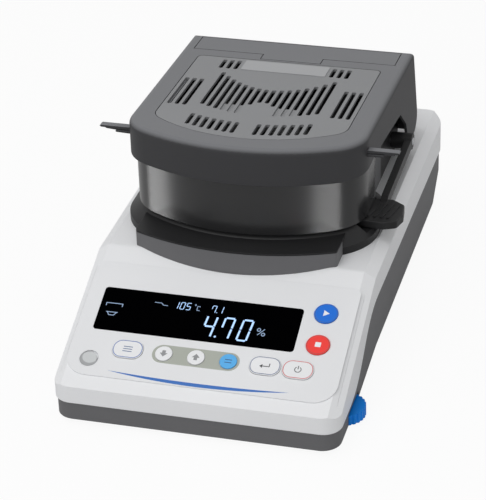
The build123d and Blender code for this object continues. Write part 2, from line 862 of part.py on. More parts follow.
# Rear sockets. Each body is held by a flange behind the case wall.
rear_plane = Plane.XZ.offset(-back(case_depth))
with BuildPart() as ac_inlet:
    with BuildSketch(rear_plane) as inlet_face:
        with Locations((inlet_x, socket_z)):
            Rectangle(inlet_width, inlet_height)
    extrude(amount=22)
    with BuildSketch(rear_plane.offset(case_wall + tray_inset)):
        with Locations((inlet_x, socket_z)):
            Rectangle(inlet_width + 6, inlet_height + 5)
    extrude(amount=3)
    with BuildSketch(rear_plane) as inlet_socket:
        with Locations((inlet_x, socket_z)):
            Rectangle(24, 16)
        chamfer(inlet_socket.vertices().group_by(Axis.Y)[-1], length=4.5)
    extrude(amount=17, mode=Mode.SUBTRACT)
save(ac_inlet.part, "ac_inlet")

with BuildPart() as inlet_pins:
    with BuildSketch(rear_plane.offset(17)):
        with Locations((inlet_x, socket_z + 2), (inlet_x - 7, socket_z - 2), (inlet_x + 7, socket_z - 2)):
            Rectangle(2, 4)
    extrude(amount=-12)
save(inlet_pins.part, "inlet_pins")

with BuildPart() as serial_port:
    with BuildSketch(rear_plane):
        with Locations((serial_x, socket_z)):
            Rectangle(serial_width, serial_height)
    extrude(amount=10)
    with BuildSketch(rear_plane.offset(case_wall + tray_inset)):
        with Locations((serial_x, socket_z)):
            Rectangle(serial_width + 6, serial_height + 6)
    extrude(amount=2)
    with BuildSketch(rear_plane) as serial_recess:
        with Locations((serial_x, socket_z)):
            Trapezoid(19, 9, 80, rotation=180)
        fillet(serial_recess.vertices(), radius=1.5)
    extrude(amount=6, mode=Mode.SUBTRACT)
save(serial_port.part, "serial_port")

with BuildPart() as usb_port:
    with BuildSketch(rear_plane):
        with Locations((usb_x, socket_z)):
            Rectangle(usb_width, usb_height)
    extrude(amount=16)
    with BuildSketch(rear_plane.offset(case_wall + tray_inset)):
        with Locations((usb_x, socket_z)):
            Rectangle(usb_width + 5, usb_height + 5)
    extrude(amount=2)
    with BuildSketch(rear_plane) as usb_recess:
        with Locations((usb_x, socket_z)):
            Rectangle(8.5, 7.8)
        chamfer(usb_recess.vertices().group_by(Axis.Y)[-1], length=1.6)
    extrude(amount=9, mode=Mode.SUBTRACT)
save(usb_port.part, "usb_port")

# Cover shell: front rim, roof falling to the rear, side walls that deepen toward the hinge
# and carry an arch for the lifting arm.
knuckle_reach = math.hypot(cover_rear - hinge_from_front, cover_rear_z - hinge_z)
tangent_angle = math.asin(knuckle_radius / knuckle_reach) + math.atan2(
    hinge_from_front - cover_rear, cover_rear_z - hinge_z
)
tangent_y = hinge_from_front + knuckle_radius * math.cos(tangent_angle)
tangent_z = hinge_z + knuckle_radius * math.sin(tangent_angle)
wall_bottom_z = hinge_z - knuckle_radius
knuckle_diagonal = knuckle_radius * math.sqrt(0.5)

# Corners of the side wall's lower edge, behind the rim and over the lifting arm.
arch_crest = 285
arch_crest_z = 128
arch_knee = 308
arch_knee_z = 109
arch_foot = 320.5

with BuildPart() as cover_block:
    with BuildSketch(Plane.YZ) as cover_side:
        with BuildLine():
            Polyline(
                (back(tangent_y), tangent_z),
                (back(cover_rear), cover_rear_z),
                (back(cover_front), cover_front_z),
                (back(cover_front), rim_bottom_z),
                (back(chamber_centre), rim_bottom_z),
                (back(arch_crest), arch_crest_z),
                (back(arch_knee), arch_knee_z),
                (back(arch_foot), wall_bottom_z),
                (back(hinge_from_front), wall_bottom_z),
            )
            ThreePointArc(
                (back(hinge_from_front), wall_bottom_z),
                (back(hinge_from_front + knuckle_diagonal), hinge_z - knuckle_diagonal),
                (back(tangent_y), tangent_z),
            )
        make_face()
        fillet(cover_side.vertices().sort_by_distance((0, back(arch_crest), arch_crest_z))[0], radius=9)
    extrude(amount=cover_half_width, both=True)
    with BuildSketch():
        add(cover_outline.sketch)
    extrude(amount=beyond, mode=Mode.INTERSECT)
    fillet(cover_block.faces().sort_by(Axis.Z)[-1].edges(), radius=4.5)

with BuildPart() as cover_cavity:
    with BuildSketch(Plane.YZ):
        with BuildLine():
            Polyline(
                (back(cover_front), 0),
                (back(cover_front), cover_front_z - cover_roof),
                (back(cover_rear) - cover_wall, cover_rear_z - cover_roof),
                (back(tangent_y) - cover_wall, tangent_z),
                (back(tangent_y) - cover_wall, 0),
                close=True,
            )
        make_face()
    extrude(amount=cover_half_width, both=True)
    with BuildSketch():
        add(cover_outline.sketch)
        offset(amount=-cover_wall)
    extrude(amount=beyond, mode=Mode.INTERSECT)

vent_half_width = cover_half_width - 17.5
vent_front = 144.5
vent_rear = 294
vent_arc_radius = 112
vent_thickness = 2.2
with BuildSketch() as vent_outline:
    with Locations((0, along_cover(vent_front))):
        Rectangle(
            2 * vent_half_width,
            along_cover(chamber_centre) - along_cover(vent_front),
            align=(Align.CENTER, Align.MIN),
        )
    with Locations((0, along_cover(vent_front) + vent_arc_radius)):
        Circle(vent_arc_radius, mode=Mode.INTERSECT)
    fillet(vent_outline.vertices().group_by(Axis.Y)[0], radius=16)
    with Locations((0, along_cover(chamber_centre))):
        Rectangle(
            2 * vent_half_width,
            along_cover(vent_rear) - along_cover(chamber_centre),
            align=(Align.CENTER, Align.MIN),
        )
    fillet(vent_outline.vertices().group_by(Axis.Y)[-1], radius=4)

cap_half_width = cover_half_width - 9.5
cap_front = 307.5
cap_rear = 333
tab_half_width = 24
tab_front = 297.4
cap_thickness = 2
with BuildSketch() as cap_outline:
    with BuildLine():
        Polyline(
            (-cap_half_width, along_cover(cap_rear)),
            (cap_half_width, along_cover(cap_rear)),
            (cap_half_width, along_cover(cap_front)),
            (tab_half_width, along_cover(cap_front)),
            (tab_half_width, along_cover(tab_front)),
            (-tab_half_width, along_cover(tab_front)),
            (-tab_half_width, along_cover(cap_front)),
            (-cap_half_width, along_cover(cap_front)),
            close=True,
        )
    make_face()

joint_width = 0.6
boss_inner_x = cover_half_width - 15
with BuildPart() as cover_shell:
    add(cover_block.part)
    add(cover_cavity.part, mode=Mode.SUBTRACT)
    # Recesses for the vent plate and the rear cap, and the opening under the vents.
    with BuildSketch(cover_plane):
        add(vent_outline.sketch)
        offset(amount=joint_width)
    extrude(amount=-vent_thickness, mode=Mode.SUBTRACT)
    with BuildSketch(cover_plane):
        add(cap_outline.sketch)
        offset(amount=joint_width, kind=Kind.INTERSECTION)
    extrude(amount=-cap_thickness, mode=Mode.SUBTRACT)
    with BuildSketch(cover_plane):
        add(vent_outline.sketch)
        offset(amount=-4)
    extrude(amount=-10, mode=Mode.SUBTRACT)
    # Hinge bosses on the inside of the side walls.
    for side in (-1, 1):
        with BuildSketch(Plane.YZ.offset(side * (boss_inner_x + cover_half_width - cover_wall) / 2)):
            with Locations((back(hinge_from_front), hinge_z)):
                Circle(9)
        extrude(amount=(cover_half_width - cover_wall - boss_inner_x) / 2, both=True)
    with BuildSketch(Plane.YZ):
        with Locations((back(hinge_from_front), hinge_z)):
            Circle(hinge_pin_radius + running_clearance)
    extrude(amount=hinge_pin_half + 0.5, both=True, mode=Mode.SUBTRACT)
save(cover_shell.part, "cover_shell")

# Vent plate with its slot groups, symmetrical left to right.
slot_pitch = 5.92
slot_width = 3.4
middle_slots = 8
front_slots = 7
front_slot_length = 20
blind_start = 186.8
open_start = 206
middle_end = 237
rear_slot_x = 38.4
side_slot_x = vent_half_width - 16.3
# Radii of the arcs that the middle slots' front and rear ends follow.
front_ends_radius = 78
rear_ends_radius = 36.5


def vent_slot(x, start, end):
    with Locations((x, (along_cover(start) + along_cover(end)) / 2)):
        SlotOverall(along_cover(end) - along_cover(start), slot_width, rotation=90)


def bow(x, radius):
    """How far a slot at x lies behind one in the middle, for ends that follow an arc."""
    return x * x / 2 / radius


with BuildPart() as vent_plate:
    with BuildSketch(cover_plane.offset(-vent_thickness)):
        add(vent_outline.sketch)
    extrude(amount=vent_thickness)
    with BuildSketch(cover_plane):
        for side in (-1, 1):
            for step in range(3):
                vent_slot(side * (rear_slot_x + slot_pitch * step), 272, 289.5)
                vent_slot(side * (side_slot_x + slot_pitch * step), 195, 247.3)
            for step in range(front_slots):
                outer = 8.5 + 6.1 * step
                start = 151.8 + bow(outer, vent_arc_radius)
                vent_slot(side * outer, start, start + front_slot_length)
            for step in range(middle_slots):
                outer = slot_pitch * (step + 0.5)
                start = open_start + max(0, 5 - 5 * step)
                if step > 4:
                    start = blind_start + bow(outer, front_ends_radius)
                vent_slot(side * outer, start, middle_end + bow(outer, rear_ends_radius))
    extrude(amount=-vent_thickness, mode=Mode.SUBTRACT)
    # Blind lower ends of the middle slots.
    with BuildSketch(cover_plane):
        for side in (-1, 1):
            for step in range(2, 5):
                outer = slot_pitch * (step + 0.5)
                start = blind_start + bow(outer, front_ends_radius)
                vent_slot(side * outer, start, open_start + slot_width)
    extrude(amount=-1.2, mode=Mode.SUBTRACT)
save(vent_plate.part, "vent_plate")

with BuildPart() as rear_cap:
    with BuildSketch(cover_plane.offset(-cap_thickness)):
        add(cap_outline.sketch)
    extrude(amount=cap_thickness)
save(rear_cap.part, "rear_cap")

label_from_front = 281.4
label_width = 67.4
label_height = 19
with BuildPart() as label_plate:
    with BuildSketch(cover_plane):
        with Locations((0, along_cover(label_from_front))):
            RectangleRounded(label_width, label_height, 0.8)
    extrude(amount=0.4)
save(label_plate.part, "label_plate")

grip_z = 155
grip_thickness = 2.2
grip_from_front = 168
grip_collar = 1.2
for side, side_name in ((-1, "left"), (1, "right")):
    with BuildPart() as grip:
        with BuildSketch(Plane.XY.offset(grip_z)):
            add(offset(cover_outline.sketch, amount=grip_collar, mode=Mode.PRIVATE))
            with Locations((side * cover_half_width, back(grip_from_front - 14))):
                Rectangle(2 * cover_corner_radius, 46, mode=Mode.INTERSECT)
            with BuildLine():
                Polyline(
                    (side * (cover_half_width - 1), back(grip_from_front - 16)),
                    (side * (cover_half_width + 22), back(grip_from_front - 3)),
                    (side * (cover_half_width + 24), back(grip_from_front)),
                    (side * (cover_half_width + 22), back(grip_from_front + 3)),
                    (side * (cover_half_width - 1), back(grip_from_front + 8)),
                    close=True,
                )
            make_face()
            add(cover_outline.sketch, mode=Mode.SUBTRACT)
        extrude(amount=grip_thickness)
    save(grip.part, "grip_" + side_name)

carrier_bottom_z = rim_bottom_z + 0.5
carrier_thickness = 2.5
carrier_top_z = carrier_bottom_z + carrier_thickness
with BuildPart() as cover_skirt:
    with BuildSketch(Plane.XY.offset(skirt_bottom_z)):
        add(chamber_outline.sketch)
    extrude(amount=carrier_bottom_z - skirt_bottom_z)
    with BuildSketch(Plane.XY.offset(skirt_bottom_z)):
        add(chamber_outline.sketch)
        offset(amount=-skirt_wall)
    extrude(amount=carrier_bottom_z - skirt_bottom_z, mode=Mode.SUBTRACT)
save(cover_skirt.part, "cover_skirt")

heater_opening_radius = 50
carrier_length = 175
with BuildPart() as heater_carrier:
    with BuildSketch(Plane.XY.offset(carrier_bottom_z)):
        add(cover_outline.sketch)
        offset(amount=-cover_wall)
        with Locations((0, back(cover_front))):
            Rectangle(
                2 * cover_half_width,
                carrier_length,
                align=(Align.CENTER, Align.MIN),
                mode=Mode.INTERSECT,
            )
        with Locations((0, back(chamber_centre))):
            Circle(heater_opening_radius, mode=Mode.SUBTRACT)
    extrude(amount=carrier_thickness)
save(heater_carrier.part, "heater_carrier")

with BuildPart() as reflector:
    with BuildSketch(Plane.XZ.offset(-back(chamber_centre))):
        with BuildLine():
            Polyline(
                (heater_opening_radius + 6, carrier_top_z),
                (heater_opening_radius + 6, carrier_top_z + 1),
                (heater_opening_radius - 2, carrier_top_z + 1),
                (20, carrier_top_z + 8),
                (0, carrier_top_z + 8),
                (0, carrier_top_z + 7),
                (19.5, carrier_top_z + 7),
                (heater_opening_radius - 2.5, carrier_top_z),
                close=True,
            )
        make_face()
    revolve(axis=Axis((0, back(chamber_centre), 0), (0, 0, 1)))
save(reflector.part, "reflector")

lamp_half_length = 36
lamp_offset = 17
lamp_z = carrier_bottom_z - 3
lamp_holder_bottom_z = carrier_bottom_z - 8.5
with BuildPart() as lamp_tubes:
    with BuildSketch(Plane.YZ):
        with Locations((back(chamber_centre), lamp_z)):
            with GridLocations(2 * lamp_offset, 2 * lamp_offset, 2, 1):
                Circle(4)
    extrude(amount=lamp_half_length, both=True)
save(lamp_tubes.part, "lamp_tubes")

with BuildPart() as lamp_holders:
    with BuildSketch(Plane.XY.offset(lamp_holder_bottom_z)):
        with Locations((0, back(chamber_centre))):
            Rectangle(2 * (lamp_half_length + 14), 46)
            Rectangle(2 * lamp_half_length, 46, mode=Mode.SUBTRACT)
            Circle(52, mode=Mode.INTERSECT)
    extrude(amount=carrier_bottom_z - lamp_holder_bottom_z)
save(lamp_holders.part, "lamp_holders")

glass_z = carrier_bottom_z - 16.5
glass_radius = 52
with BuildPart() as glass_retainer:
    with BuildSketch(Plane.XY.offset(glass_z - 3)):
        with Locations((0, back(chamber_centre))):
            Circle(glass_radius + 4)
            Circle(glass_radius - 3, mode=Mode.SUBTRACT)
    extrude(amount=3)
    with BuildSketch(Plane.XY.offset(glass_z)):
        with Locations((0, back(chamber_centre))):
            Circle(glass_radius + 4)
            Circle(glass_radius + 0.2, mode=Mode.SUBTRACT)
    extrude(amount=carrier_bottom_z - glass_z)
save(glass_retainer.part, "glass_retainer")

with BuildPart() as filter_glass:
    with BuildSketch(Plane.XY.offset(glass_z)):
        with Locations((0, back(chamber_centre))):
            Circle(glass_radius)
    extrude(amount=3)
save(filter_glass.part, "filter_glass")

with BuildPart() as temperature_sensor:
    with BuildSketch(Plane.XY.offset(glass_z - 5)):
        with Locations((-30, back(chamber_centre))):
            SlotOverall(46, 4)
    extrude(amount=2)
    with BuildSketch(Plane.XY.offset(glass_z - 8)):
        with Locations((-11, back(chamber_centre))):
            Circle(1.4)
    extrude(amount=3)
save(temperature_sensor.part, "temperature_sensor")
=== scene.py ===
import json
import math

import bmesh
import bpy
from mathutils import Matrix, Vector


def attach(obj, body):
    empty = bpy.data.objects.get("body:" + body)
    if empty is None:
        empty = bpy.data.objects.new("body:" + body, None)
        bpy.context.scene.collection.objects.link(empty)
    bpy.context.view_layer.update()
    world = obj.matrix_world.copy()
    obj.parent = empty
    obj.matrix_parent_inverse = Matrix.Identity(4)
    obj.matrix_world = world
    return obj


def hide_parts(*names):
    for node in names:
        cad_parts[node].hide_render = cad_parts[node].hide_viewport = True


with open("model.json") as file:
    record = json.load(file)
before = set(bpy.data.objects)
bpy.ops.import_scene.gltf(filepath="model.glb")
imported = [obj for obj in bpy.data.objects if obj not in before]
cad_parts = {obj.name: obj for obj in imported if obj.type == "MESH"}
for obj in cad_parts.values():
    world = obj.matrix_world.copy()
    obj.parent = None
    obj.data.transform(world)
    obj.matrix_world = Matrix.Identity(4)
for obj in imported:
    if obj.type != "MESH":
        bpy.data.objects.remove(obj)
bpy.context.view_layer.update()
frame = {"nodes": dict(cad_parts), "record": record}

nodes = frame["nodes"]
MM = 0.001
CASE_DEPTH = 392


def back(distance):
    """Distance from the front of the case, in mm, as Y in metres."""
    return (distance - CASE_DEPTH / 2) * MM


def turned(origin, degrees):
    """A frame at origin, in metres, turned about the axis that runs across the case."""
    return Matrix.Translation(origin) @ Matrix.Rotation(math.radians(degrees), 4, "X")


# Frame of the sloping control panel: X across, Y up the slope, Z out of the face.
PANEL_FRONT_Z, PANEL_SLOPE = 32, 21.9
PANEL = turned((0, back(0), PANEL_FRONT_Z * MM), PANEL_SLOPE)
# Upright frames whose Z points to the back of the case and to the front of a grip.
REAR = turned((0, back(CASE_DEPTH), 0), -90)
GRIP_BACK, GRIP_DEPTH = 171, 5.4
GRIP_FACE = turned((0, back(GRIP_BACK - GRIP_DEPTH / 2), 0), 90)


# Materials
def rgb(code):
    """An sRGB hex colour as linear values."""
    parts = [int(code[i : i + 2], 16) / 255 for i in (1, 3, 5)]
    return tuple(c / 12.92 if c <= 0.04045 else ((c + 0.055) / 1.055) ** 2.4 for c in parts) + (1.0,)


def add_node(tree, kind, settings=None, **links):
    """Adds a node, sets its properties and input values, and links outputs to its inputs."""
    node = tree.nodes.new(kind)
    for key, value in (settings or {}).items():
        if hasattr(node, key):
            setattr(node, key, value)
        else:
            node.inputs[key].default_value = value
    for key, socket in links.items():
        tree.links.new(socket, node.inputs[key.replace("_", " ")])
    return node


BROAD_MM = 60
GRAIN_DEPTH_MM = 0.1


def surface(
    name, colour, roughness, grain_mm=0.6, grain=0.06, edge_mm=0.4, metallic=0.0, spread=0.03, **more
):
    """A moulded or metal surface: fine grain, a little unevenness of tone, softened edges.

    The real grain is finer than the picture shows, so grain_mm is the finest that can be seen.
    """
    mat = bpy.data.materials.new(name)
    mat.use_nodes = True
    tree = mat.node_tree
    shader = tree.nodes["Principled BSDF"]
    place = add_node(tree, "ShaderNodeTexCoord")
    fine = add_node(
        tree, "ShaderNodeTexNoise", {"Scale": 1 / (grain_mm * MM), "Detail": 3.0, "Roughness": 0.6},
        Vector=place.outputs["Object"],
    )
    broad = add_node(
        tree, "ShaderNodeTexNoise", {"Scale": 1 / (BROAD_MM * MM), "Detail": 2.0},
        Vector=place.outputs["Object"],
    )
    tone = add_node(
        tree, "ShaderNodeMapRange",
        {"To Min": 1 - spread, "To Max": 1 + spread}, Value=broad.outputs["Fac"],
    )
    tint = add_node(tree, "ShaderNodeVectorMath", {"operation": "SCALE"}, Scale=tone.outputs["Result"])
    tint.inputs[0].default_value = rgb(colour)[:3]
    tree.links.new(tint.outputs["Vector"], shader.inputs["Base Color"])
    rough = add_node(
        tree, "ShaderNodeMapRange",
        {"To Min": roughness * 0.9, "To Max": min(1.0, roughness * 1.1)}, Value=fine.outputs["Fac"],
    )
    tree.links.new(rough.outputs["Result"], shader.inputs["Roughness"])
    soft = add_node(tree, "ShaderNodeBevel", {"samples": 4, "Radius": edge_mm * MM})
    bump = add_node(
        tree, "ShaderNodeBump", {"Strength": grain, "Distance": GRAIN_DEPTH_MM * MM},
        Height=fine.outputs["Fac"], Normal=soft.outputs["Normal"],
    )
    tree.links.new(bump.outputs["Normal"], shader.inputs["Normal"])
    shader.inputs["Metallic"].default_value = metallic
    for key, value in more.items():
        shader.inputs[key.replace("_", " ")].default_value = value
    return mat


def painted_shade_by_slope(mat, colour, start, end):
    """Painted shade: a second colour where the normal's upward share is at start, fading to the first at
    end.
    """
    tree = mat.node_tree
    shader = tree.nodes["Principled BSDF"]
    top = shader.inputs["Base Color"].links[0].from_socket
    place = add_node(tree, "ShaderNodeTexCoord")
    axes = add_node(tree, "ShaderNodeSeparateXYZ", Vector=place.outputs["Normal"])
    rise = add_node(
        tree, "ShaderNodeMapRange", {"From Min": start, "From Max": end}, Value=axes.outputs["Z"]
    )
    mix = add_node(tree, "ShaderNodeMix", {"data_type": "RGBA"})
    tree.links.new(rise.outputs["Result"], mix.inputs["Factor"])
    mix.inputs[6].default_value = rgb(colour)
    tree.links.new(top, mix.inputs[7])
    tree.links.new(mix.outputs[2], shader.inputs["Base Color"])
    return mat


def glow(name, colour, strength):
    """The phosphor of a vacuum fluorescent display: even light, no reflection."""
    mat = bpy.data.materials.new(name)
    mat.use_nodes = True
    shader = mat.node_tree.nodes["Principled BSDF"]
    shader.inputs["Base Color"].default_value = (0, 0, 0, 1)
    shader.inputs["Emission Color"].default_value = rgb(colour)
    shader.inputs["Emission Strength"].default_value = strength
    return mat


def clear(name, colour, roughness, ior=1.5):
    """Glass: bright edges, the pieces behind it seen through."""
    mat = surface(name, colour, roughness, grain=0.0, spread=0.0)
    shader = mat.node_tree.nodes["Principled BSDF"]
    shader.inputs["Transmission Weight"].default_value = 1.0
    shader.inputs["IOR"].default_value = ior
    return mat


# Fine-textured mouldings reflect about half as much as smooth plastic does.
DULL = {"Specular_IOR_Level": 0.25}
ALUMINIUM = surface("polished_aluminium", "#dcdde0", 0.22, 1.5, 0.02, metallic=1.0)
COVER_GREY = surface("dark_grey_pbt", "#76777a", 0.55, 0.45, 0.14, **DULL)
FINISH = {
    # ABS moulded in a lightly textured tool: even white and grey with soft, wide reflections.
    "white_abs": surface("white_abs", "#eeeff1", 0.42, 0.5, 0.05),
    "grey_abs": surface("grey_abs", "#6a6a6c", 0.55, 0.5, 0.10, **DULL),
    # Heat-resistant PBT, moulded with a spark-eroded grain: dull. The cover's walls are darker by
    # painted shade, deepest where a face turns furthest from upward.
    "dark_grey_abs": painted_shade_by_slope(COVER_GREY, "#39393b", 0.35, 0.9),
    "vent_grey_abs": surface("vent_grey_pbt", "#8a8b8d", 0.55, 0.45, 0.08, **DULL),
    "mid_grey_abs": surface("mid_grey_pbt", "#737476", 0.55, 0.5, 0.08, **DULL),
    "black_plastic": surface("black_pbt", "#202021", 0.45, 0.5, 0.08, **DULL),
    # Glass-filled nylon of sockets and switches: plain satin black.
    "switch_black": surface("black_nylon", "#1a1a1b", 0.5),
    # PBT from a polished tool: the skirt mirrors the strips as tall soft bands.
    "gloss_black": surface("gloss_black_pbt", "#1c1c1d", 0.24, 3.0, 0.01),
    # Screen-printed polyester film: smooth satin colour.
    "overlay_film": surface("polyester_film", "#ecedef", 0.45, 0.3, 0.02, edge_mm=0.2, **DULL),
    "key_white": surface("white_key_film", "#f1f2f4", 0.4, 0.4, 0.01, edge_mm=0.25, **DULL),
    "key_blue": surface("blue_key_film", "#0070e0", 0.35, 0.4, 0.01, edge_mm=0.25, **DULL),
    "key_red": surface("red_key_film", "#fb3b34", 0.35, 0.4, 0.01, edge_mm=0.25, **DULL),
    "key_light_blue": surface("light_blue_key_film", "#5ab4f2", 0.35, 0.4, 0.01, edge_mm=0.25, **DULL),
    # Smoked acrylic over the display, anti-glare: near black without a reflection.
    "smoked_window": surface(
        "smoked_acrylic", "#020203", 0.25, 2.0, 0.0, edge_mm=0.15, Specular_IOR_Level=0.0
    ),
    "display_glass": clear("display_glass", "#cfd8d8", 0.05),
    # Green solder mask over woven glass and resin: half-gloss.
    "circuit_board": surface("circuit_board", "#1f5a37", 0.4),
    # Frosted acrylic of the level: pale, with a clear upper skin.
    "clear_plastic": surface("frosted_acrylic", "#c9cccd", 0.25, 1.0, 0.0, Coat_Weight=0.4),
    # Spun and polished aluminium of the reflector, with painted shade on its upper side, so the vent
    # slots above it look dark.
    "polished_aluminium": painted_shade_by_slope(ALUMINIUM, "#0c0c0d", 0.5, 0.1),
    # Milled aluminium of the load cell: soft sheen.
    "cast_aluminium": surface("machined_aluminium", "#b8babd", 0.38, 0.5, 0.05, metallic=1.0),
    # Zinc-plated steel of pins and brackets: bright, slightly uneven.
    "plated_steel": surface("zinc_plated_steel", "#b9bbbf", 0.3, 0.8, 0.03, metallic=1.0),
    # Varnished transformer sheets: dark and half metallic.
    "transformer_steel": surface("varnished_steel", "#35363a", 0.45, 0.8, 0.06, metallic=0.6),
    # Pressed aluminium of the sample pan: bright with fine drawing marks.
    "pan_aluminium": surface("pressed_aluminium", "#cfd1d4", 0.28, 1.2, 0.03, metallic=1.0),
    # Bare metallised film of the label plate: flat silver grey.
    "label_foil": surface("bare_foil_label", "#a2a3a5", 0.5, 0.4, 0.02, edge_mm=0.1, metallic=0.2),
    # Moulded rubber of the feet: matt, grainy.
    "foot_rubber": surface("foot_rubber", "#1e1e20", 0.75, 0.6, 0.12),
    # Unglazed steatite of the lamp holders: warm, chalky white.
    "white_ceramic": surface("steatite", "#e9e6dc", 0.55, 0.6, 0.05),
    # Drawn quartz tubes and a toughened glass disc: clear, sharp reflections.
    "lamp_glass": clear("quartz_glass", "#f2f3f5", 0.03),
    "clear_glass": clear("tempered_glass", "#e6f2ee", 0.03),
    # Blue nylon of the levelling wheels: saturated satin.
    "foot_blue": surface("blue_nylon", "#0088ee", 0.35, 0.6, 0.02, **DULL),
}
# Pieces whose tone differs from the rest of their material slot.
TONES = {
    "chamber_apron": surface("apron_grey_pbt", "#6c6c6e", 0.55, 0.5, 0.08, **DULL),
    # The heater carrier is near black as painted shade, so the vent slots look dark inside.
    "heater_carrier": surface("heater_carrier_painted_shade", "#0e0e0f", 0.7, 0.6, 0.05, **DULL),
}
for part in frame["record"]["subparts"]:
    mesh = nodes[part["node"]].data
    mesh.materials.clear()
    mesh.materials.append(TONES.get(part["node"], FINISH[part["material_slot"]]))

# Screen-printing inks: flat, even colour with a satin face.
INK = {
    name: surface(name + "_ink", colour, 0.4, grain=0.0, edge_mm=0.01)
    for name, colour in {
        "blue_line": "#1466bb",
        "outline_blue": "#5f79b4",
        "outline_slate": "#727d97",
        "outline_red": "#cf6a6e",
        "strip": "#a9ada3",
        "symbol_grey": "#8c8e90",
        "symbol_dark": "#333539",
        "symbol_white": "#f4f6fa",
        "symbol_blue": "#1c4f86",
        "red_rim": "#b8403e",
        "blue_rim": "#1d5fae",
    }.items()
}
RECESS_SHADE = surface("recess_shade", "#a3a5a7", 0.5, grain=0.0, edge_mm=0.01)
LIT = glow("display_glow", "#a9cdfb", 1.25)
LIT_DIM = glow("display_glow_dim", "#9db9dd", 0.8)


# Shapes
def link(name, mesh, body, material):
    """An object made of one mesh and material, riding on a body of the CAD."""
    obj = bpy.data.objects.new(name, mesh)
    bpy.context.scene.collection.objects.link(obj)
    mesh.materials.append(material)
    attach(obj, body)
    return obj


def filled(loops, thickness):
    """One flat shape in mm, an outline and its holes, as a thin mesh made from a filled curve."""
    curve = bpy.data.curves.new("shape", "CURVE")
    curve.dimensions = "2D"
    curve.fill_mode = "BOTH"
    curve.extrude = thickness / 2 * MM
    for loop in loops:
        spline = curve.splines.new("POLY")
        spline.points.add(len(loop) - 1)
        for point, (x, y) in zip(spline.points, loop):
            point.co = (x * MM, y * MM, 0, 1)
        spline.use_cyclic_u = True
    holder = bpy.data.objects.new("shape", curve)
    mesh = bpy.data.meshes.new_from_object(holder)
    bpy.data.objects.remove(holder)
    return mesh


def print_on(name, shapes, matrix, body, material, lift=0.02, thickness=0.03):
    """Flat shapes on a face, as thin as print or as thick as a rib.

    A shape is one loop, or a list of an outline and its holes.
    """
    bm = bmesh.new()
    for shape in shapes:
        bm.from_mesh(filled([shape] if isinstance(shape[0][0], (int, float)) else shape, thickness))
    bm.transform(matrix @ Matrix.Translation((0, 0, (lift + thickness / 2) * MM)))
    mesh = bpy.data.meshes.new(name)
    bm.to_mesh(mesh)
    bm.free()
    return link(name, mesh, body, material)


def ring(cx, cy, half_width, half_height, steps=48):
    """An ellipse round (cx, cy)."""
    angles = [2 * math.pi * i / steps for i in range(steps)]
    return [(cx + half_width * math.cos(a), cy + half_height * math.sin(a)) for a in angles]


def rounded(cx, cy, half_width, half_height, radius, steps=10):
    """A rectangle with rounded corners round (cx, cy)."""
    loop = []
    for quarter, (sx, sy) in enumerate(((1, 1), (-1, 1), (-1, -1), (1, -1))):
        for i in range(steps + 1):
            angle = math.pi / 2 * (quarter + i / steps)
            loop.append(
                (
                    cx + sx * (half_width - radius) + radius * math.cos(angle),
                    cy + sy * (half_height - radius) + radius * math.sin(angle),
                )
            )
    return loop


def bar(x0, y0, x1, y1, width):
    """A straight stroke of the given width."""
    length = math.hypot(x1 - x0, y1 - y0)
    nx, ny = -(y1 - y0) / length * width / 2, (x1 - x0) / length * width / 2
    return [(x0 + nx, y0 + ny), (x1 + nx, y1 + ny), (x1 - nx, y1 - ny), (x0 - nx, y0 - ny)]


def strokes(points, width):
    """One stroke per step of an open line of points."""
    return [bar(*start, *end, width) for start, end in zip(points, points[1:])]


# Each segment's two ends, as shares of the digit's width and height.
SEGMENTS = {
    "a": (0, 1, 1, 1), "b": (1, 1, 1, 0.5), "c": (1, 0.5, 1, 0), "d": (0, 0, 1, 0),
    "e": (0, 0, 0, 0.5), "f": (0, 0.5, 0, 1), "g": (0, 0.5, 1, 0.5),
}
DIGITS = {"0": "abcdef", "1": "bc", "4": "bcfg", "5": "acdfg", "7": "abcf"}


def digit(char, x, y, width, height, stroke, lean=0.105, gap=0.3):
    """The lit segments of one leaning seven-segment digit, in mm."""
    loops = []
    for key in DIGITS[char]:
        x0, y0, x1, y1 = SEGMENTS[key]
        p = [x + x0 * width + lean * y0 * height, y + y0 * height]
        q = [x + x1 * width + lean * y1 * height, y + y1 * height]
        length = math.hypot(q[0] - p[0], q[1] - p[1])
        ux, uy = (q[0] - p[0]) / length, (q[1] - p[1]) / length
        inset = stroke * gap
        loops.append(
            bar(p[0] + ux * inset, p[1] + uy * inset, q[0] - ux * inset, q[1] - uy * inset, stroke)
        )
    return loops


# Heights over the panel's face, in mm, of the window, the overlay film and the key caps.
WINDOW = 0.8
FILM = 0.8
KEY_TOP = 1.7

# The display, as the lit tube shows through the smoked window: width, height and stroke of a digit.
BIG = (7.1, 18.2, 1.45)
SMALL = (2.9, 6.0, 0.55)


def number(digits, base, size):
    """Digits, each at its own x, standing on one base line."""
    return [loop for char, x in digits for loop in digit(char, x, base, *size)]


BIG_BASE, SMALL_BASE = 57.2, 78.8
reading = number((("4", -7.9), ("7", 5.3), ("0", 18.9)), BIG_BASE, BIG)
reading.append(ring(2.9, BIG_BASE + 0.7, 0.85, 0.85, 12))
print_on("display_reading", reading, PANEL, "base", LIT, WINDOW)

small = number((("1", -33.6), ("0", -28.9), ("5", -24.3)), SMALL_BASE - 0.2, SMALL)
small += number((("7", -5.2), ("1", 0.0)), SMALL_BASE, SMALL)
small.append(ring(-0.8, SMALL_BASE + 0.2, 0.35, 0.35, 10))
print_on("display_settings", small, PANEL, "base", LIT, WINDOW)


def hollow_ring(x, y, half_width, half_height, wall, steps):
    return [
        ring(x, y, half_width, half_height, steps),
        ring(x, y, half_width - wall, half_height - wall, steps),
    ]


